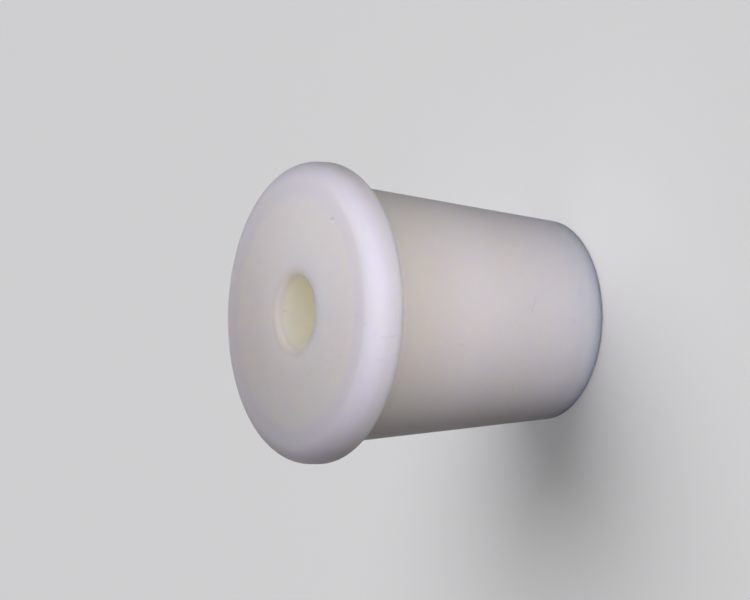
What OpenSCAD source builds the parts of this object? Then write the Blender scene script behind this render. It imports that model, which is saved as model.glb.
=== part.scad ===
// Flanged laboratory stopper with one hole, moulded in one piece of silicone rubber.
//
// A tapered plug stands on its small end, the round-edged head is above it, and one
// straight bore runs through both. The Z axis is the bore's axis and the origin is the
// middle of the small end. All sizes are in millimetres.

/* [Head] */
// Diameter of the head
head_d = 25; // [24:0.5:40]
// Thickness of the head
head_t = 3.2; // [2.6:0.1:8]
// Rounding of the head's front edge
head_front_round = 1.6; // [0.2:0.1:2]
// Rounding of the head's back edge
head_back_round = 0.9; // [0.2:0.1:1.1]

/* [Plug] */
// Diameter of the plug where it meets the head
plug_top_d = 21.7; // [17.5:0.1:23.5]
// Diameter of the plug at its small end
plug_tip_d = 17; // [13:0.1:17.5]
// Length of the plug below the head
plug_l = 21.8; // [10:0.1:50]
// Rounding of the small end's edge
plug_tip_round = 0.25; // [0.05:0.05:1.5]
// Fillet in the corner between the plug and the head
neck_round = 0.4; // [0.05:0.05:0.6]

/* [Bore] */
// Diameter of the bore
bore_d = 6; // [2:0.1:12]
// Rounding of the bore's edge in the head
bore_head_round = 0.45; // [0.05:0.05:1.5]
// Rounding of the bore's edge at the small end
bore_tip_round = 0.25; // [0.05:0.05:1]

/* [Hidden] */
$fn = 128;

// Share of a side that the roundings at its two ends may take up together
round_share = 0.95;

stopper_h = plug_l + head_t;
silicone_white = "#e6e1e8";

// The half section's corners, counter-clockwise from the bore's small end. Each one is
// [distance from the axis, height, rounding].
half_section = [
    [bore_d / 2,     0,         bore_tip_round],
    [plug_tip_d / 2, 0,         plug_tip_round],
    [plug_top_d / 2, plug_l,    neck_round],
    [head_d / 2,     plug_l,    head_back_round],
    [head_d / 2,     stopper_h, head_front_round],
    [bore_d / 2,     stopper_h, bore_head_round],
];

function point(corner) = [corner[0], corner[1]];
function unit(v) = v / norm(v);

// Numbers of the corners after and before corner i, going round the outline
function after(corners, i) = (i + 1) % len(corners);
function before(corners, i) = (i + len(corners) - 1) % len(corners);

// The side from corner i to the next one, as a vector
function side(corners, i) = point(corners[after(corners, i)]) - point(corners[i]);

// Unit vectors from corner i along the sides after and before it
function way_on(corners, i) = unit(side(corners, i));
function way_back(corners, i) = -unit(side(corners, before(corners, i)));

// Half of the angle between the two sides that meet at corner i
function half_angle(corners, i) = acos(way_back(corners, i) * way_on(corners, i)) / 2;

// An outer corner turns left when the outline is followed counter-clockwise.
function is_outer(corners, i) = cross(way_on(corners, i), way_back(corners, i)) > 0;

// Length of each side that corner i's rounding takes up as it is asked for
function taken(corners, i) = corners[i][2] / tan(half_angle(corners, i));

// Share of their size that the roundings at the ends of side i keep, so that both fit on it
function share_kept(corners, i) =
    min(1, round_share * norm(side(corners, i))
        / (taken(corners, i) + taken(corners, after(corners, i))));

// Corner i's rounding and what it takes up, limited by the tighter of its two sides
function fit(corners, i) =
    min(share_kept(corners, i), share_kept(corners, before(corners, i)));
function fitted_round(corners, i) = corners[i][2] * fit(corners, i);
function fitted_taken(corners, i) = taken(corners, i) * fit(corners, i);

// The triangle between corner i and the points where its rounding touches the two sides
module corner_triangle(corners, i) {
    translate(point(corners[i]))
        polygon([
            [0, 0],
            way_back(corners, i) * fitted_taken(corners, i),
            way_on(corners, i) * fitted_taken(corners, i),
        ]);
}

// The disc whose edge rounds corner i, on the line that halves the corner
module corner_disc(corners, i) {
    inwards = unit(way_back(corners, i) + way_on(corners, i));
    translate(point(corners[i]))
        translate(inwards * fitted_round(corners, i) / sin(half_angle(corners, i)))
            circle(fitted_round(corners, i));
}

// Outline with every corner rounded by a true arc: an outer corner is cut straight across
// and a disc fills the cut, and an inner corner is filled up to its disc.
module rounded_outline(corners) {
    all = [0 : len(corners) - 1];
    outer = [for (i = all) if (is_outer(corners, i)) i];
    inner = [for (i = all) if (!is_outer(corners, i)) i];
    difference() {
        polygon([for (corner = corners) point(corner)]);
        for (i = outer) corner_triangle(corners, i);
    }
    for (i = outer) corner_disc(corners, i);
    for (i = inner)
        difference() {
            corner_triangle(corners, i);
            corner_disc(corners, i);
        }
}

// The whole stopper, turned from its half section
module stopper() {
    color(silicone_white) rotate_extrude() rounded_outline(half_section);
}

stopper();
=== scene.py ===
"""Milky silicone stopper with one hole: its moulded body and a small studio round it.

The file is laid out as an add-on and run as a script. Lengths are in metres, on the
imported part's own axes: Z is the bore's axis and the stopper stands on its small end.
"""

import math

import bmesh
import bpy
from bpy.props import FloatProperty, FloatVectorProperty, IntProperty, PointerProperty
from mathutils import Matrix, Vector


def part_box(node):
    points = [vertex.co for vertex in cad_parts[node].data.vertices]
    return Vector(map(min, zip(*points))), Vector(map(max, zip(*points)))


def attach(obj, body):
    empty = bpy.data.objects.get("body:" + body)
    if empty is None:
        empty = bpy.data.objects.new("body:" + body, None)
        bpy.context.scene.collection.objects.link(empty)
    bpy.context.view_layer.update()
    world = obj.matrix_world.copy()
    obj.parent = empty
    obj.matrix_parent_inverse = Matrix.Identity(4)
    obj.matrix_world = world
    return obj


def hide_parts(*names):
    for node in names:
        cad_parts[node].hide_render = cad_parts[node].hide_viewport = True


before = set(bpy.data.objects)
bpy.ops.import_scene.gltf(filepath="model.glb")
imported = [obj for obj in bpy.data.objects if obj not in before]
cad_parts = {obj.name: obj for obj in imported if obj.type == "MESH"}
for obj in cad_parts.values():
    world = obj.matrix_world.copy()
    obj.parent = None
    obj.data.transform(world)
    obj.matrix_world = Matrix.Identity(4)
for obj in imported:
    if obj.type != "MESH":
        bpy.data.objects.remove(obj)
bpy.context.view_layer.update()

bl_info = {
    "name": "Silicone stopper",
    "version": (1, 0, 0),
    "blender": (4, 5, 0),
    "location": "3D View > Sidebar > Stopper",
    "description": "Models a milky silicone stopper with one hole and lights it in a small studio",
    "category": "Add Mesh",
}

MM = 0.001
NODE = "stopper"
BODY = "root"

LOW_CORNER, HIGH_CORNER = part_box(NODE)
HEAD_D = HIGH_CORNER.x - LOW_CORNER.x
HEIGHT = HIGH_CORNER.z - LOW_CORNER.z


# ---------------------------------------------------------------- settings


def length(name, description, default):
    """A length in metres that shows in the scene's own unit."""
    return FloatProperty(
        name=name, description=description, default=default, min=0.0,
        unit="LENGTH", subtype="DISTANCE", precision=4,
    )


def colour(name, description, default):
    """A linear colour without alpha."""
    return FloatVectorProperty(
        name=name, description=description, default=default, min=0.0, max=1.0,
        size=3, subtype="COLOR",
    )


class StopperSizes(bpy.types.PropertyGroup):
    """Sizes of the stopper's half section."""

    height: length("Height", "Height from the small end to the head's front face", HEIGHT)
    head_d: length("Head diameter", "Diameter across the head", HEAD_D)
    head_t: length("Head thickness", "Thickness of the head", 3.2 * MM)
    head_front_round: length("Front rounding", "Rounding of the head's front edge", 1.6 * MM)
    head_back_round: length("Back rounding", "Rounding of the head's back edge", 0.9 * MM)
    plug_top_d: length("Plug at head", "Diameter of the plug where it meets the head", 21.7 * MM)
    plug_tip_d: length("Plug at tip", "Diameter of the plug at its small end", 17.0 * MM)
    neck_round: length("Neck fillet", "Fillet between the plug and the head", 0.4 * MM)
    plug_tip_round: length("Tip rounding", "Rounding of the small end's edge", 0.25 * MM)
    bore_d: length("Bore", "Diameter of the bore", 6.0 * MM)
    bore_head_round: length("Bore rounding", "Rounding of the bore's edge in the head", 0.45 * MM)
    bore_tip_round: length("Bore tip rounding", "Rounding of the bore's edge at the tip", 0.25 * MM)
    turns: IntProperty(
        name="Steps round", description="Number of steps of the full turn", default=256,
        min=48, max=360,
    )


class StopperFinishAndPaintedLight(bpy.types.PropertyGroup):
    """Colours and gloss of the silicone. Several colours by place hold painted light and shade as
    well as the silicone's own tone.
    """

    plug: colour("Plug", "Colour of the plug's side", (0.857, 0.796, 0.832))
    # Painted light: the lower plug and the tip are lighter and bluer, standing in for light that
    # comes through the thin small end and falls on it from behind.
    low: colour("Lower plug", "Colour of the plug's side close to the tip", (0.878, 0.820, 0.897))
    tip: colour("Tip", "Colour at the small end's edge", (1.000, 0.885, 1.000))
    # Painted shade: the neck and the corner darken the plug under the head, where the rim shades it,
    # with a warmer tone in the neck.
    neck: colour("Neck", "Colour of the plug close under the head", (0.757, 0.702, 0.672))
    corner: colour("Corner", "Colour in the corner under the head", (0.810, 0.740, 0.755))
    # Painted light: the head's thin back edge is lighter, standing in for light that comes through
    # it.
    back: colour("Head's back", "Colour of the head's rounded back edge", (1.000, 0.920, 0.950))
    # The rim and the lower rim: partly the silicone's own lilac tone, partly painted shade that
    # makes the rim darker than the face.
    rim: colour("Rim", "Colour of the head's rounded rim", (0.753, 0.699, 0.825))
    rim_low: colour("Lower rim", "Colour of the rim close to the head's back", (0.795, 0.728, 0.800))
    # Painted highlight: the shoulder is a lighter, bluer band where the face turns into the rim.
    shoulder: colour("Shoulder", "Colour where the face turns into the rim", (0.810, 0.758, 0.855))
    face: colour("Face", "Colour of the head's flat face", (0.850, 0.800, 0.830))
    # Painted shade: the mouth is darker, which dims the light on the bore's rounded edge.
    mouth: colour("Mouth", "Colour of the bore's rounded mouth", (0.785, 0.708, 0.693))
    # The bore: partly the silicone's own yellow tone, partly painted light that makes the bore's
    # wall lighter.
    bore: colour("Bore", "Colour inside the bore", (0.940, 0.870, 0.775))
    # Painted glow: the deep bore emits light, standing in for light that comes through the wall.
    glow: colour("Glow", "Light that comes through the wall into the bore", (0.950, 1.000, 0.900))
    # Marks also scales the painted shade and painted highlights of the pit and the scratch.
    marks: FloatProperty(
        name="Marks", description="Strength of the specks and scratches", default=1.0,
        min=0.0, max=3.0,
    )
    roughness: FloatProperty(
        name="Roughness", description="Mean roughness of the surface", default=0.5,
        min=0.0, max=1.0, subtype="FACTOR",
    )
    cloudiness: FloatProperty(
        name="Cloudiness", description="Strength of the faint clouds in the colour",
        default=0.03, min=0.0, max=0.3, subtype="FACTOR",
    )
    depth: length("Light depth", "Unit of how far light spreads in the silicone", 1.0 * MM)


class StudioSettings(bpy.types.PropertyGroup):
    """Floor and light of the studio."""

    floor: colour("Floor", "Colour of the floor as the camera sees it", (0.62, 0.62, 0.63))
    light: FloatProperty(
        name="Light", description="Strength of all lamps together", default=1.0,
        min=0.0, max=4.0,
    )


# ---------------------------------------------------------------- nodes


class Nodes:
    """Short ways to add nodes to one node tree and join them."""

    def __init__(self, tree):
        self.tree = tree

    def put(self, value, socket):
        """Join another node's output to the socket, or set the socket to a value."""
        if isinstance(value, bpy.types.NodeSocket):
            self.tree.links.new(value, socket)
        elif socket.type == "RGBA" and len(value) == 3:
            socket.default_value = (*value, 1.0)
        else:
            socket.default_value = value

    def add(self, kind, **settings):
        """A new node with these settings."""
        node = self.tree.nodes.new(kind)
        for name, value in settings.items():
            setattr(node, name, value)
        return node

    def math(self, operation, *values, clamp=False):
        """The result of a sum on numbers."""
        node = self.add("ShaderNodeMath", operation=operation, use_clamp=clamp)
        for value, socket in zip(values, node.inputs):
            self.put(value, socket)
        return node.outputs[0]

    def vector(self, operation, *values, out="Vector", scale=None):
        """The result of a sum on vectors."""
        node = self.add("ShaderNodeVectorMath", operation=operation)
        for value, socket in zip(values, node.inputs):
            self.put(value, socket)
        if scale is not None:
            self.put(scale, node.inputs["Scale"])
        return node.outputs[out]

    def ramp(self, value, start, end):
        """A smooth change from 0 to 1 while value goes from start to end."""
        node = self.add("ShaderNodeMapRange", interpolation_type="SMOOTHSTEP")
        for given, socket in zip((value, start, end), node.inputs):
            self.put(given, socket)
        return node.outputs[0]

    def band(self, value, start, full_start, full_end, end):
        """A mask that is 1 between the two full values and fades out at both sides."""
        return self.math(
            "MULTIPLY", self.ramp(value, start, full_start), self.ramp(value, end, full_end)
        )

    def mix(self, factor, first, second, blend="MIX"):
        """The first colour where factor is 0 and the second where it is 1."""
        node = self.add("ShaderNodeMix", data_type="RGBA", blend_type=blend)
        self.put(factor, node.inputs[0])
        self.put(first, node.inputs[6])
        self.put(second, node.inputs[7])
        return node.outputs[2]

    def noise(self, position, scale, detail, roughness):
        """Soft cloudy noise round 0.5."""
        node = self.add("ShaderNodeTexNoise")
        self.put(position, node.inputs["Vector"])
        self.put(scale, node.inputs["Scale"])
        self.put(detail, node.inputs["Detail"])
        self.put(roughness, node.inputs["Roughness"])
        return node.outputs["Fac"]


def new_material(name):
    """A material with only its output node, and the short ways to build it."""
    material = bpy.data.materials.new(name)
    material.use_nodes = True
    material.node_tree.nodes.clear()
    nodes = Nodes(material.node_tree)
    out = nodes.add("ShaderNodeOutputMaterial")
    return material, nodes, out


def millimetres(nodes):
    """The place on the piece, in millimetres."""
    place = nodes.add("ShaderNodeTexCoord").outputs["Object"]
    return nodes.vector("SCALE", place, scale=1 / MM)


def new_group(name, inputs):
    """A shader node group with these inputs and one mask as its output."""
    group = bpy.data.node_groups.new(name, "ShaderNodeTree")
    for label, kind in inputs:
        group.interface.new_socket(label, in_out="INPUT", socket_type=kind)
    group.interface.new_socket("Mask", in_out="OUTPUT", socket_type="NodeSocketFloat")
    nodes = Nodes(group)
    given = nodes.add("NodeGroupInput").outputs
    out = nodes.add("NodeGroupOutput").inputs["Mask"]
    return group, nodes, given, out


def mark_group():
    """A short soft stroke between two points, which fades at its sides and ends."""
    vector, number = "NodeSocketVector", "NodeSocketFloat"
    group, nodes, given, out = new_group(
        "Mark", (("Place", vector), ("Start", vector), ("End", vector), ("Width", number))
    )
    along = nodes.vector("SUBTRACT", given["End"], given["Start"])
    reach = nodes.vector("SUBTRACT", given["Place"], given["Start"])
    share = nodes.math(
        "DIVIDE",
        nodes.vector("DOT_PRODUCT", reach, along, out="Value"),
        nodes.vector("DOT_PRODUCT", along, along, out="Value"),
        clamp=True,
    )
    away = nodes.vector("DISTANCE", reach, nodes.vector("SCALE", along, scale=share), out="Value")
    nodes.put(nodes.ramp(away, given["Width"], 0.0), out)
    return group


# Specks, pits and scratches in the surface, in millimetres: start, end, half width, how much darker
# the colour is there (less than 0 is lighter), and the groove's share of full depth. The darkening
# of the pit and the scratch is partly painted shade, and their lighter strokes are painted
# highlights.
MARKS = (
    # pit in the face: its dark upper side is painted shade, and its light lower lip is a painted
    # highlight
    ((7.70, -5.44, 25.00), (7.70, -5.82, 25.00), 0.24, 0.115, 0.5),
    ((7.40, -5.46, 25.00), (7.40, -5.84, 25.00), 0.18, -0.080, 0.0),
    # fine line across the rim
    ((-1.72, -12.28, 24.00), (-1.66, -12.39, 22.98), 0.15, 0.065, 0.4),
    ((-1.58, -12.40, 23.18), (-1.53, -12.39, 22.51), 0.13, 0.045, 0.2),
    # scratch in the plug: its dark line is partly a real mark and partly painted shade in the
    # groove, and its light side line is a painted highlight
    ((1.85, -9.09, 7.27), (0.72, -9.30, 7.70), 0.21, 0.068, 0.4),
    ((1.27, -9.27, 7.98), (0.94, -9.31, 7.99), 0.11, 0.065, 0.3),
    ((1.86, -9.13, 7.55), (1.36, -9.23, 7.72), 0.14, -0.030, 0.0),
    # specks in the bore and at its mouth
    ((0.05, 3.00, 24.34), (0.06, 3.00, 24.10), 0.17, 0.110, 0.0),
    ((-2.09, 2.34, 24.88), (-2.63, 1.98, 24.97), 0.16, 0.080, 0.0),
    # dull spots on the face
    ((-0.07, -9.60, 25.00), (-0.06, -10.20, 25.00), 0.32, 0.040, 0.0),
    ((-0.68, -10.95, 25.00), (-0.67, -11.32, 24.94), 0.30, 0.050, 0.2),
    ((-5.09, -2.51, 25.00), (-5.07, -2.83, 25.00), 0.22, 0.045, 0.3),
    ((-3.50, -7.24, 25.00), (-3.47, -7.99, 25.00), 0.18, 0.035, 0.2),
    # dull spots on the rim and the plug
    ((-3.51, -11.84, 24.07), (-3.50, -11.99, 23.60), 0.20, 0.045, 0.3),
    ((-2.26, -9.89, 15.22), (-2.25, -9.83, 14.76), 0.16, 0.050, 0.3),
    ((0.05, -8.90, 3.60), (0.06, -8.83, 3.10), 0.28, 0.030, 0.0),
)


def marks(nodes, place):
    """Two masks over every mark together: how much darker it is, which holds painted shade and
    painted highlights for the pit and the scratch, and how deep.
    """
    group = mark_group()
    darker, deeper = 0.0, 0.0
    for start, end, width, strength, depth in MARKS:
        node = nodes.add("ShaderNodeGroup", node_tree=group)
        for value, socket in zip((place, start, end, width), node.inputs):
            nodes.put(value, socket)
        darker = nodes.math("MULTIPLY_ADD", node.outputs[0], strength, darker)
        if depth:
            deeper = nodes.math("MULTIPLY_ADD", node.outputs[0], depth, deeper)
    return darker, deeper


# Tints up the outside: each takes over from the one before it between two heights, which are in
# millimetres from the small end. Most of them hold painted light or shade.
OUTER_TINTS = (
    # Painted light: low and tip make the small end lighter and bluer.
    ("low", 9.0, 2.5),
    ("tip", 2.4, 0.9),
    # Painted shade under the head: neck and corner.
    ("neck", 12.2, 20.2),
    ("corner", 20.4, 21.2),
    # Painted light on the head's thin back edge.
    ("back", 21.6, 21.85),
    # Partly the rim's own lilac tone, partly painted shade.
    ("rim_low", 22.0, 22.95),
    ("rim", 22.8, 24.0),
)

# Where the other tints begin and are full, in millimetres: heights on the head's top and
# down the bore, and distances from the axis
TOP_HEIGHTS = (24.2, 24.9)
# The bore's tint holds painted light.
BORE_HEIGHTS = (25.0, 24.0)
# The deep bore's mask is where the painted glow is.
DEEP_HEIGHTS = (24.4, 21.0)
FACE_RADII = (12.4, 9.0)
# The shoulder's band holds a painted highlight.
SHOULDER_RADII = (9.0, 10.4, 10.9, 11.8)
# The mouth's band holds painted shade.
MOUTH_RADII = (4.1, 3.2, 3.0, 2.0)
WALL_RADII = (3.4, 3.05)

# How far red, green and blue light spreads in the silicone, in units of the light depth
SPREAD = (5.0, 4.2, 2.5)
BORE_SPREAD = (10.0, 8.4, 5.0)

# Strength of the painted glow in the deep bore, an emission that stands in for light coming through
# the thick wall, 1 being white
BORE_GLOW = 0.027

SILICONE_IOR = 1.41
SPECULAR_LEVEL = 0.25

# Cycles of noise in a millimetre: clouds in the colour, patches of gloss, and fine grain
CLOUD_SCALE = 0.28
SKIN_SCALE = 1.3
GRAIN_SCALE = 5.0

# How much the roughness varies, the depth of a full mark, and the grain's share of that depth
ROUGHNESS_SPREAD = 0.16
FULL_DEPTH = 0.06 * MM
GRAIN_SHARE = 0.05


def silicone_tint(nodes, finish, height, radius, in_bore):
    """The silicone's colour by place, partly its own tone and partly painted light and shade:
    painted light makes the lower plug, the tip and the head's back edge lighter and bluer and the
    bore lighter; painted shade darkens the plug under the head, the rim and the bore's mouth; a
    painted highlight lightens the shoulder.
    """
    tint = finish.plug
    for name, start, full in OUTER_TINTS:
        tint = nodes.mix(nodes.ramp(height, start, full), tint, getattr(finish, name))
    on_top = nodes.ramp(height, *TOP_HEIGHTS)
    on_face = nodes.math("MULTIPLY", on_top, nodes.ramp(radius, *FACE_RADII))
    tint = nodes.mix(on_face, tint, finish.face)
    on_shoulder = nodes.math("MULTIPLY", on_top, nodes.band(radius, *SHOULDER_RADII))
    tint = nodes.mix(on_shoulder, tint, finish.shoulder)
    tint = nodes.mix(nodes.band(radius, *MOUTH_RADII), tint, finish.mouth)
    return nodes.mix(in_bore, tint, finish.bore)


def skin_relief(nodes, place, deeper):
    """The normal of the skin, with its fine grain and the grooves of the marks."""
    grain = nodes.noise(place, GRAIN_SCALE, detail=2.0, roughness=0.5)
    relief = nodes.math("MULTIPLY_ADD", grain, GRAIN_SHARE, nodes.math("MULTIPLY", deeper, -1.0))
    bump = nodes.add("ShaderNodeBump")
    nodes.put(1.0, bump.inputs["Strength"])
    nodes.put(FULL_DEPTH, bump.inputs["Distance"])
    nodes.put(relief, bump.inputs["Height"])
    return bump.outputs[0]


def silicone_material(finish):
    """Milky, slightly translucent silicone with a satin skin."""
    material, nodes, out = new_material("Milky silicone")
    place = millimetres(nodes)
    split = nodes.add("ShaderNodeSeparateXYZ")
    nodes.put(place, split.inputs[0])
    height = split.outputs["Z"]
    flat = nodes.vector("MULTIPLY", place, (1.0, 1.0, 0.0))
    radius = nodes.vector("LENGTH", flat, out="Value")
    on_wall = nodes.ramp(radius, *WALL_RADII)
    in_bore = nodes.math("MULTIPLY", on_wall, nodes.ramp(height, *BORE_HEIGHTS))
    deep = nodes.math("MULTIPLY", on_wall, nodes.ramp(height, *DEEP_HEIGHTS))

    tint = silicone_tint(nodes, finish, height, radius, in_bore)
    clouds = nodes.noise(place, CLOUD_SCALE, detail=3.0, roughness=0.55)
    shade = nodes.math("MULTIPLY_ADD", nodes.math("SUBTRACT", clouds, 0.5), finish.cloudiness, 1.0)
    darker, deeper = marks(nodes, place)
    # The marks darken and lighten the colour: specks, and painted shade and highlights at the pit
    # and the scratch.
    shade = nodes.math("SUBTRACT", shade, nodes.math("MULTIPLY", darker, finish.marks))
    tint = nodes.mix(1.0, tint, shade, blend="MULTIPLY")

    skin = nodes.math("SUBTRACT", nodes.noise(place, SKIN_SCALE, detail=4.0, roughness=0.6), 0.5)
    rough = nodes.math("MULTIPLY_ADD", skin, ROUGHNESS_SPREAD, finish.roughness)

    shader = nodes.add("ShaderNodeBsdfPrincipled", subsurface_method="RANDOM_WALK")
    nodes.put(tint, shader.inputs["Base Color"])
    nodes.put(rough, shader.inputs["Roughness"])
    nodes.put(skin_relief(nodes, place, deeper), shader.inputs["Normal"])
    nodes.put(SILICONE_IOR, shader.inputs["IOR"])
    nodes.put(SPECULAR_LEVEL, shader.inputs["Specular IOR Level"])
    nodes.put(1.0, shader.inputs["Subsurface Weight"])
    nodes.put(nodes.mix(in_bore, SPREAD, BORE_SPREAD), shader.inputs["Subsurface Radius"])
    nodes.put(finish.depth, shader.inputs["Subsurface Scale"])
    # Painted glow: emission in the deep bore.
    nodes.put(nodes.mix(deep, (0.0, 0.0, 0.0), finish.glow), shader.inputs["Emission Color"])
    nodes.put(BORE_GLOW, shader.inputs["Emission Strength"])
    nodes.put(shader.outputs[0], out.inputs["Surface"])
    return material


# The floor's answer to light that it throws back up, and the glow that keeps its shadow light
FLOOR_BOUNCE = 0.02
FLOOR_GLOW = 0.30
FLOOR_ROUGHNESS = 0.8


def floor_material(studio):
    """Plain floor: pale to the eye, and dark to the light that it would throw back up."""
    material, nodes, out = new_material("Plain floor")
    path = nodes.add("ShaderNodeLightPath")
    seen = nodes.math("ADD", path.outputs["Is Camera Ray"], path.outputs["Is Glossy Ray"])
    seen = nodes.math("ADD", seen, path.outputs["Is Transmission Ray"], clamp=True)
    shader = nodes.add("ShaderNodeBsdfPrincipled")
    nodes.put(nodes.mix(seen, (FLOOR_BOUNCE,) * 3, studio.floor), shader.inputs["Base Color"])
    nodes.put(FLOOR_ROUGHNESS, shader.inputs["Roughness"])
    nodes.put(0.0, shader.inputs["Specular IOR Level"])
    nodes.put(studio.floor, shader.inputs["Emission Color"])
    nodes.put(nodes.math("MULTIPLY", seen, FLOOR_GLOW), shader.inputs["Emission Strength"])
    nodes.put(shader.outputs[0], out.inputs["Surface"])
    return material


# ---------------------------------------------------------------- meshes


def piece_from(bm, name, material):
    """A smooth piece at the origin that holds the mesh and wears the material."""
    for face in bm.faces:
        face.smooth = True
    mesh = bpy.data.meshes.new(name)
    bm.to_mesh(mesh)
    bm.free()
    mesh.materials.append(material)
    piece = bpy.data.objects.new(name, mesh)
    bpy.context.scene.collection.objects.link(piece)
    return piece


# The longest step along the section's straight sides, and the gap that closes by itself
SIDE_STEP = 0.6 * MM
MERGE_GAP = 0.001 * MM

# The nib of flash: where it is, how far round it reaches and how far it stands out
NIB_AZIMUTH = math.radians(2.7)
NIB_HEIGHT = 0.22 * MM
NIB_REACH = 0.38 * MM
NIB_PROUD = 0.10 * MM
# Radius of the finer mesh round it, in reaches, and the cuts in each of its edges
NIB_MESH_REACH = 1.4
NIB_CUTS = 2


def draw_half_section(bm, sizes):
    """Closed outline of half the section in the XZ plane, with its corners rounded."""
    bore, tip = sizes.bore_d / 2, sizes.plug_tip_d / 2
    neck, rim = sizes.plug_top_d / 2, sizes.head_d / 2
    head_back = sizes.height - sizes.head_t
    # distance from the axis, height, rounding and the rounding's number of segments
    corners = (
        (bore, 0.0, sizes.bore_tip_round, 8),
        (tip, 0.0, sizes.plug_tip_round, 8),
        (neck, head_back, sizes.neck_round, 8),
        (rim, head_back, sizes.head_back_round, 16),
        (rim, sizes.height, sizes.head_front_round, 28),
        (bore, sizes.height, sizes.bore_head_round, 16),
    )
    verts = [bm.verts.new((x, 0.0, z)) for x, z, _, _ in corners]
    bm.faces.new(verts)
    spots = [vert.co.copy() for vert in verts]
    for i, (_, _, rounding, segments) in enumerate(corners):
        back, on = spots[i - 1] - spots[i], spots[(i + 1) % len(spots)] - spots[i]
        reach = rounding / math.tan(back.angle(on) / 2)
        bmesh.ops.bevel(
            bm, geom=[verts[i]], offset=reach, offset_type="OFFSET", segments=segments,
            profile=0.5, affect="VERTICES", material=-1,
        )


def pull_nib(bm, radius):
    """Pull a small nib of moulding flash out of the side, by the small end's edge."""
    out = Vector((math.sin(NIB_AZIMUTH), -math.cos(NIB_AZIMUTH), 0.0))
    middle = out * radius + Vector((0.0, 0.0, NIB_HEIGHT))
    near = [
        edge for edge in bm.edges
        if all((vert.co - middle).length < NIB_MESH_REACH * NIB_REACH for vert in edge.verts)
    ]
    bmesh.ops.subdivide_edges(bm, edges=near, cuts=NIB_CUTS, use_grid_fill=True)
    for vert in bm.verts:
        away = (vert.co - middle).length / NIB_REACH
        if away < 1.0:
            vert.co += out * NIB_PROUD * (1.0 - away**2) ** 2


class STOPPER_OT_body(bpy.types.Operator):
    """Turn the stopper's body from its half section"""

    bl_idname = "stopper.make_body"
    bl_label = "Stopper body"

    def execute(self, context):
        sizes = context.scene.stopper_sizes
        bm = bmesh.new()
        draw_half_section(bm, sizes)
        for edge in list(bm.edges):
            cuts = int(edge.calc_length() / SIDE_STEP)
            if cuts:
                bmesh.ops.subdivide_edges(bm, edges=[edge], cuts=cuts)
        bmesh.ops.delete(bm, geom=bm.faces[:], context="FACES_ONLY")
        bmesh.ops.spin(
            bm, geom=bm.verts[:] + bm.edges[:], cent=(0, 0, 0), axis=(0, 0, 1),
            dvec=(0, 0, 0), angle=math.tau, steps=sizes.turns, use_merge=True,
        )
        bmesh.ops.remove_doubles(bm, verts=bm.verts, dist=MERGE_GAP)
        pull_nib(bm, sizes.plug_tip_d / 2)
        bmesh.ops.recalc_face_normals(bm, faces=bm.faces)
        body = piece_from(bm, "stopper_body", silicone_material(context.scene.stopper_finish))
        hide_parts(NODE)
        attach(body, BODY)
        return {"FINISHED"}


# ---------------------------------------------------------------- studio


def add_light(name, kind, azimuth, elevation, distance, lit, shines=True):
    """A lamp that looks at the stopper's middle and lights only the objects in lit.

    One that doesn't shine gives soft light but no highlight."""
    lamp = bpy.data.lights.new(name, kind)
    holder = bpy.data.objects.new(name, lamp)
    bpy.context.scene.collection.objects.link(holder)
    a, e = math.radians(azimuth), math.radians(elevation)
    away = Vector((math.cos(e) * math.sin(a), -math.cos(e) * math.cos(a), math.sin(e)))
    holder.location = Vector((0, 0, HEIGHT / 2)) + away * distance
    holder.rotation_euler = away.to_track_quat("Z", "Y").to_euler()
    holder.visible_camera = False
    holder.visible_glossy = shines
    holder.light_linking.receiver_collection = lit
    return lamp


def lit_set(name, piece):
    """A collection that holds the one piece that a lamp is to light."""
    lit = bpy.data.collections.new(name)
    lit.objects.link(piece)
    return lit


# Soft lamps on the stopper: name, azimuth from the front, elevation, distance, size, light at
# the stopper's middle, and whether it makes highlights. The angles are in degrees.
LAMPS = (
    ("front_lamp", 14.5, 2, 190 * MM, 36 * MM, 1.375, True),
    ("upper_lamp", 9, 48.5, 58 * MM, 54 * MM, 1.40, True),
    ("side_lamp", 88, 72, 34 * MM, 16 * MM, 0.47, True),
    ("back_lamp", -147, 2, 190 * MM, 36 * MM, 0.66, False),
    ("rear_lamp", 165, 1, 190 * MM, 30 * MM, 1.15, False),
)

# The floor's own even light, whose soft shadow shows where the stopper stands, in degrees
SUN_AZIMUTH = 100
SUN_ELEVATION = 52
SUN_SPREAD = 70

# Light from the air all round, as a share of full light
AIR_LIGHT = 0.05

FLOOR_HALF_WIDTH = 3.0

# The camera: focal length, sensor width, lean from looking straight down, turn and distance
LENS = 181.1212 * MM
SENSOR = 36.0 * MM
VIEW_TILT = math.radians(58.7264)
VIEW_ROLL = math.radians(1.8649)
VIEW_DISTANCE = 310.996 * MM
NEAREST_SEEN = 0.01
FARTHEST_SEEN = 10.0
# Size of the picture, and the place on it of the middle of the head's face, in pixels from
# the top left corner
PICTURE_WIDTH = 750
PICTURE_HEIGHT = 600
HEAD_ACROSS = 294.6636
HEAD_DOWN = 312.3004


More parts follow.
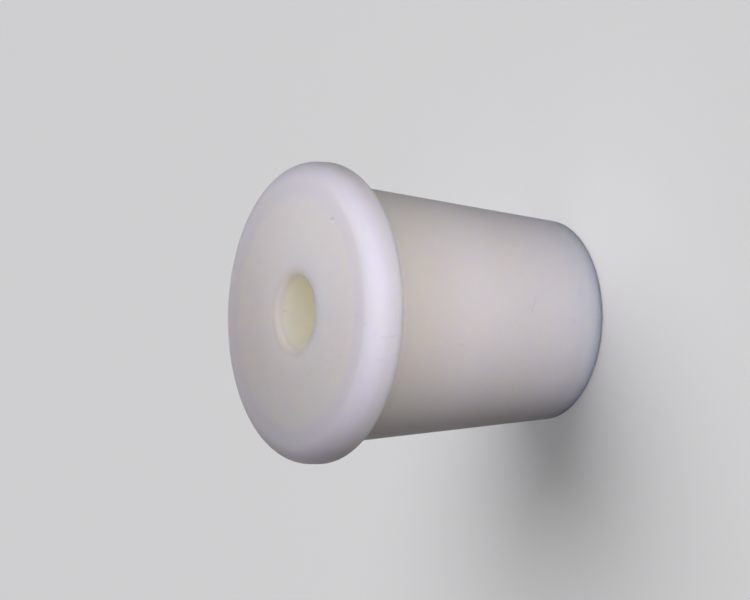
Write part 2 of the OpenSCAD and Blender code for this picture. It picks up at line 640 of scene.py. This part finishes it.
def add_camera(height):
    """A long lens that looks down on the head, turned so that the bore runs level."""
    camera = bpy.data.cameras.new("camera")
    camera.sensor_width = SENSOR / MM
    camera.lens = LENS / MM
    camera.clip_start = NEAREST_SEEN
    camera.clip_end = FARTHEST_SEEN
    holder = bpy.data.objects.new("camera", camera)
    bpy.context.scene.collection.objects.link(holder)
    down_bore = Vector((0.0, -math.cos(VIEW_TILT), -math.sin(VIEW_TILT)))
    right = down_bore * math.cos(VIEW_ROLL) + Vector((math.sin(VIEW_ROLL), 0.0, 0.0))
    back = Vector((0.0, -math.sin(VIEW_TILT), math.cos(VIEW_TILT)))
    up = back.cross(right)
    pixel = SENSOR / LENS * VIEW_DISTANCE / PICTURE_WIDTH
    across = (HEAD_ACROSS - PICTURE_WIDTH / 2) * pixel
    above = (PICTURE_HEIGHT / 2 - HEAD_DOWN) * pixel
    place = Matrix((right, up, back)).transposed().to_4x4()
    place.translation = Vector((0, 0, height)) - right * across - up * above + back * VIEW_DISTANCE
    holder.matrix_world = place
    bpy.context.scene.camera = holder


def light_stopper(body, light):
    """Set the soft lamps round the stopper."""
    on_stopper = lit_set("lit_stopper", body)
    for name, azimuth, elevation, distance, size, strength, shines in LAMPS:
        lamp = add_light(name, "AREA", azimuth, elevation, distance, on_stopper, shines)
        lamp.shape = "SQUARE"
        lamp.size = size
        lamp.energy = math.pi * distance**2 * strength * light


def light_floor(floor):
    """Give the floor its own light, so that its whole light together comes to 1."""
    lit = lit_set("lit_floor", floor)
    sun = add_light("floor_sun", "SUN", SUN_AZIMUTH, SUN_ELEVATION, 1.0, lit)
    sun.angle = math.radians(SUN_SPREAD)
    sun_share = 1.0 - AIR_LIGHT - FLOOR_GLOW
    sun.energy = math.pi * sun_share / math.sin(math.radians(SUN_ELEVATION))


def fill_world(scene, studio):
    """Give the air its faint light, and the floor's colour where the camera sees it."""
    world = bpy.data.worlds.new("Studio air")
    scene.world = world
    world.use_nodes = True
    world.node_tree.nodes.clear()
    nodes = Nodes(world.node_tree)
    out = nodes.add("ShaderNodeOutputWorld")
    background = nodes.add("ShaderNodeBackground")
    seen = nodes.add("ShaderNodeLightPath").outputs["Is Camera Ray"]
    nodes.put(nodes.mix(seen, (AIR_LIGHT,) * 3, studio.floor), background.inputs["Color"])
    nodes.put(background.outputs[0], out.inputs["Surface"])


class STOPPER_OT_studio(bpy.types.Operator):
    """Set up the floor, the soft lamps, the world and the camera"""

    bl_idname = "stopper.make_studio"
    bl_label = "Studio"

    def execute(self, context):
        scene = context.scene
        studio = scene.stopper_studio
        bm = bmesh.new()
        bmesh.ops.create_grid(bm, x_segments=1, y_segments=1, size=FLOOR_HALF_WIDTH)
        floor = piece_from(bm, "floor", floor_material(studio))
        light_stopper(bpy.data.objects["stopper_body"], studio.light)
        light_floor(floor)
        fill_world(scene, studio)
        add_camera(scene.stopper_sizes.height)
        scene.view_settings.view_transform = "Standard"
        return {"FINISHED"}


class STOPPER_PT_panel(bpy.types.Panel):
    """Sizes, finish and studio of the stopper"""

    bl_idname = "STOPPER_PT_panel"
    bl_label = "Silicone stopper"
    bl_space_type = "VIEW_3D"
    bl_region_type = "UI"
    bl_category = "Stopper"

    def draw(self, context):
        column = self.layout.column(align=True)
        for settings, operators in (
            (context.scene.stopper_sizes, ()),
            (context.scene.stopper_finish, (STOPPER_OT_body,)),
            (context.scene.stopper_studio, (STOPPER_OT_studio,)),
        ):
            for name in settings.bl_rna.properties.keys():
                if name not in {"rna_type", "name"}:
                    column.prop(settings, name)
            for operator in operators:
                column.operator(operator.bl_idname)
            column.separator()


CLASSES = (
    StopperSizes,
    StopperFinishAndPaintedLight,
    StudioSettings,
    STOPPER_OT_body,
    STOPPER_OT_studio,
    STOPPER_PT_panel,
)


def register():
    for cls in CLASSES:
        bpy.utils.register_class(cls)
    bpy.types.Scene.stopper_sizes = PointerProperty(type=StopperSizes)
    bpy.types.Scene.stopper_finish = PointerProperty(type=StopperFinishAndPaintedLight)
    bpy.types.Scene.stopper_studio = PointerProperty(type=StudioSettings)


def unregister():
    del bpy.types.Scene.stopper_studio
    del bpy.types.Scene.stopper_finish
    del bpy.types.Scene.stopper_sizes
    for cls in reversed(CLASSES):
        bpy.utils.unregister_class(cls)


def main():
    register()
    bpy.ops.stopper.make_body()
    bpy.ops.stopper.make_studio()


if __name__ == "__main__":
    main()
